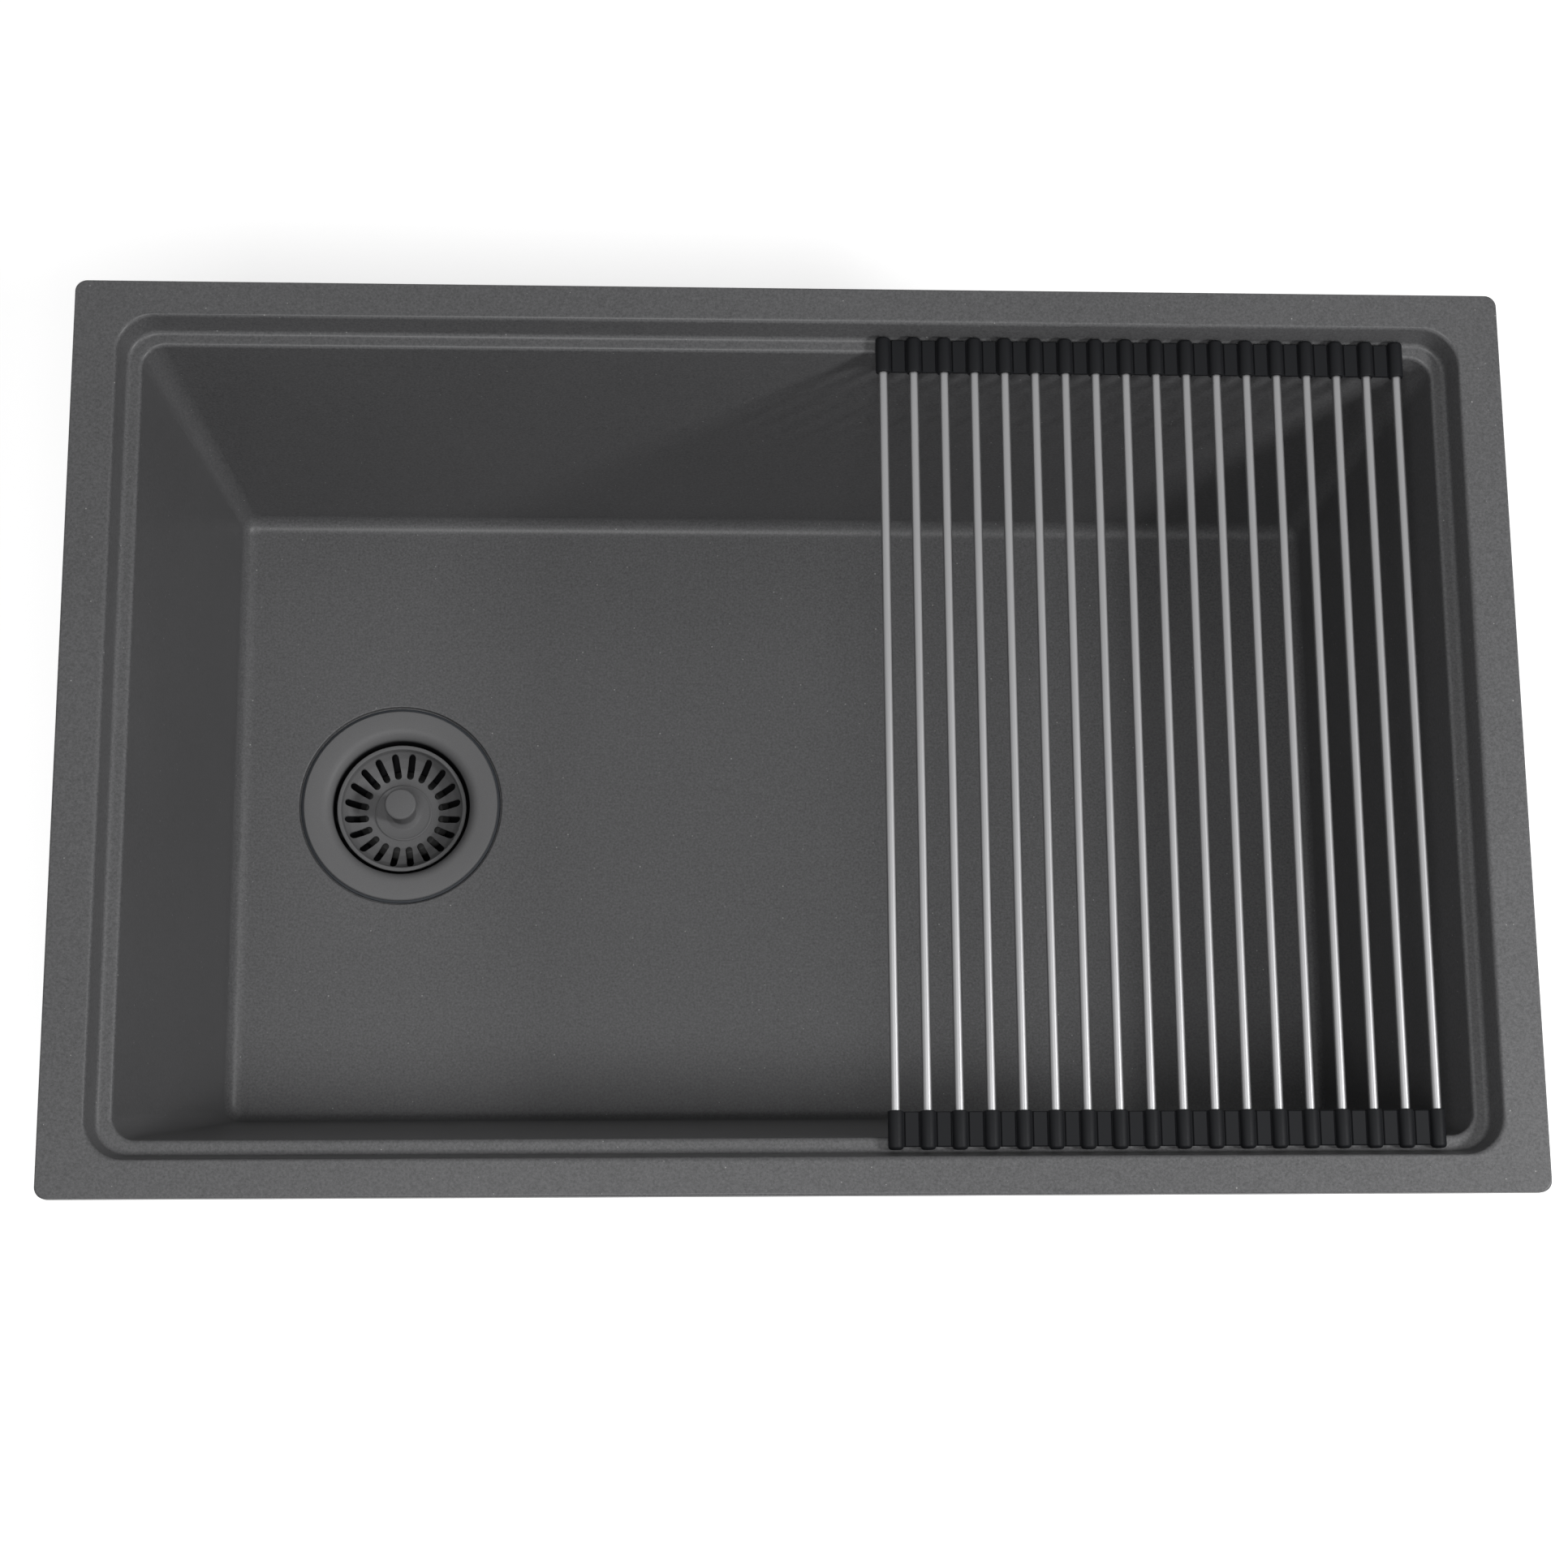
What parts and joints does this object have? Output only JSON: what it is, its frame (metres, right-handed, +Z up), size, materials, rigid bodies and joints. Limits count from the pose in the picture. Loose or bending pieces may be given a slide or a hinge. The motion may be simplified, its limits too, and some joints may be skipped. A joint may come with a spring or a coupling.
{
  "type": "kitchen sink",
  "caption": "Workstation kitchen sink: drop-in composite basin with a stepped ledge, basket strainer drain and a roll-up drying rack of steel rods.",
  "frame": {"origin": "centre of the rim's outline, in the plane of the rim's underside, which is the top of the worktop", "axes": "+X to the right along the sink's length, +Y to the back, +Z up"},
  "size_m": [0.762, 0.483, 0.4052],
  "materials": {
    "composite": "matte",
    "composite_coat": "satin",
    "rod_steel": "satin",
    "zinc": "satin",
    "brass": "satin",
    "silicone": "matte",
    "black_rubber": "matte",
    "fibre": "matte",
    "black_plastic": "satin",
    "white_plastic": "satin",
    "tube_steel": "satin"
  },
  "bodies": {
    "basin": {"basin_rim": "composite", "basin_bowl": "composite", "threaded_inserts": "brass", "mounting_clips": "zinc", "clip_screws": "zinc", "drain_sealing_ring": "black_rubber", "strainer_body": "composite_coat", "drain_rubber_washer": "black_rubber", "drain_friction_ring": "fibre", "drain_locknut": "zinc", "coupling_nut": "black_plastic", "tailpiece_washer": "white_plastic", "tailpiece": "tube_steel"},
    "strainer_basket": {"basket_cup": "composite_coat", "basket_post": "composite_coat", "basket_stopper": "black_rubber", "basket_retaining_ring": "zinc"},
    "rack_link_01": {"rack_rod_01": "rod_steel", "rack_grip_01": "silicone"},
    "rack_link_02": {"rack_rod_02": "rod_steel", "rack_grip_02": "silicone"},
    "rack_link_03": {"rack_rod_03": "rod_steel", "rack_grip_03": "silicone"},
    "rack_link_04": {"rack_rod_04": "rod_steel", "rack_grip_04": "silicone"},
    "rack_link_05": {"rack_rod_05": "rod_steel", "rack_grip_05": "silicone"},
    "rack_link_06": {"rack_rod_06": "rod_steel", "rack_grip_06": "silicone"},
    "rack_link_07": {"rack_rod_07": "rod_steel", "rack_grip_07": "silicone"},
    "rack_link_08": {"rack_rod_08": "rod_steel", "rack_grip_08": "silicone"},
    "rack_link_09": {"rack_rod_09": "rod_steel", "rack_grip_09": "silicone"},
    "rack_link_10": {"rack_rod_10": "rod_steel", "rack_grip_10": "silicone"},
    "rack_link_11": {"rack_rod_11": "rod_steel", "rack_grip_11": "silicone"},
    "rack_link_12": {"rack_rod_12": "rod_steel", "rack_grip_12": "silicone"},
    "rack_link_13": {"rack_rod_13": "rod_steel", "rack_grip_13": "silicone"},
    "rack_link_14": {"rack_rod_14": "rod_steel", "rack_grip_14": "silicone"},
    "rack_link_15": {"rack_rod_15": "rod_steel", "rack_grip_15": "silicone"},
    "rack_link_16": {"rack_rod_16": "rod_steel", "rack_grip_16": "silicone"},
    "rack_link_17": {"rack_rod_17": "rod_steel", "rack_grip_17": "silicone"},
    "rack_link_18": {"rack_rod_18": "rod_steel", "rack_grip_18": "silicone"}
  },
  "joints": [
    {"name": "basket_lift", "type": "slide", "parent": "basin", "child": "strainer_basket", "axis": [0, 0, 1], "range_m": [0, 0.1]},
    {"name": "rack_slide", "type": "slide", "parent": "basin", "child": "rack_link_18", "axis": [1, 0, 0], "range_m": [-0.385, 0.01]},
    {"name": "rack_bend_17", "type": "hinge", "parent": "rack_link_18", "child": "rack_link_17", "pos_m": [0.3186, 0, -0.0026], "axis": [0, 1, 0], "range_deg": [0, 4]},
    {"name": "rack_bend_16", "type": "hinge", "parent": "rack_link_17", "child": "rack_link_16", "pos_m": [0.3022, 0, -0.0026], "axis": [0, 1, 0], "range_deg": [0, 14]},
    {"name": "rack_bend_15", "type": "hinge", "parent": "rack_link_16", "child": "rack_link_15", "pos_m": [0.2858, 0, -0.0026], "axis": [0, 1, 0], "range_deg": [0, 27.91]},
    {"name": "rack_bend_14", "type": "hinge", "parent": "rack_link_15", "child": "rack_link_14", "pos_m": [0.2694, 0, -0.0026], "axis": [0, 1, 0], "range_deg": [0, 28.61]},
    {"name": "rack_bend_13", "type": "hinge", "parent": "rack_link_14", "child": "rack_link_13", "pos_m": [0.253, 0, -0.0026], "axis": [0, 1, 0], "range_deg": [0, 29.37]},
    {"name": "rack_bend_12", "type": "hinge", "parent": "rack_link_13", "child": "rack_link_12", "pos_m": [0.2366, 0, -0.0026], "axis": [0, 1, 0], "range_deg": [0, 30.18]},
    {"name": "rack_bend_11", "type": "hinge", "parent": "rack_link_12", "child": "rack_link_11", "pos_m": [0.2202, 0, -0.0026], "axis": [0, 1, 0], "range_deg": [0, 31.07]},
    {"name": "rack_bend_10", "type": "hinge", "parent": "rack_link_11", "child": "rack_link_10", "pos_m": [0.2038, 0, -0.0026], "axis": [0, 1, 0], "range_deg": [0, 32.05]},
    {"name": "rack_bend_09", "type": "hinge", "parent": "rack_link_10", "child": "rack_link_09", "pos_m": [0.1874, 0, -0.0026], "axis": [0, 1, 0], "range_deg": [0, 33.12]},
    {"name": "rack_bend_08", "type": "hinge", "parent": "rack_link_09", "child": "rack_link_08", "pos_m": [0.171, 0, -0.0026], "axis": [0, 1, 0], "range_deg": [0, 34.3]},
    {"name": "rack_bend_07", "type": "hinge", "parent": "rack_link_08", "child": "rack_link_07", "pos_m": [0.1546, 0, -0.0026], "axis": [0, 1, 0], "range_deg": [0, 35.62]},
    {"name": "rack_bend_06", "type": "hinge", "parent": "rack_link_07", "child": "rack_link_06", "pos_m": [0.1382, 0, -0.0026], "axis": [0, 1, 0], "range_deg": [0, 37.11]},
    {"name": "rack_bend_05", "type": "hinge", "parent": "rack_link_06", "child": "rack_link_05", "pos_m": [0.1218, 0, -0.0026], "axis": [0, 1, 0], "range_deg": [0, 38.8]},
    {"name": "rack_bend_04", "type": "hinge", "parent": "rack_link_05", "child": "rack_link_04", "pos_m": [0.1054, 0, -0.0026], "axis": [0, 1, 0], "range_deg": [0, 40.75]},
    {"name": "rack_bend_03", "type": "hinge", "parent": "rack_link_04", "child": "rack_link_03", "pos_m": [0.089, 0, -0.0026], "axis": [0, 1, 0], "range_deg": [0, 43.02]},
    {"name": "rack_bend_02", "type": "hinge", "parent": "rack_link_03", "child": "rack_link_02", "pos_m": [0.0726, 0, -0.0026], "axis": [0, 1, 0], "range_deg": [0, 45.71]},
    {"name": "rack_bend_01", "type": "hinge", "parent": "rack_link_02", "child": "rack_link_01", "pos_m": [0.0562, 0, -0.0026], "axis": [0, 1, 0], "range_deg": [0, 48.99]}
  ]
}
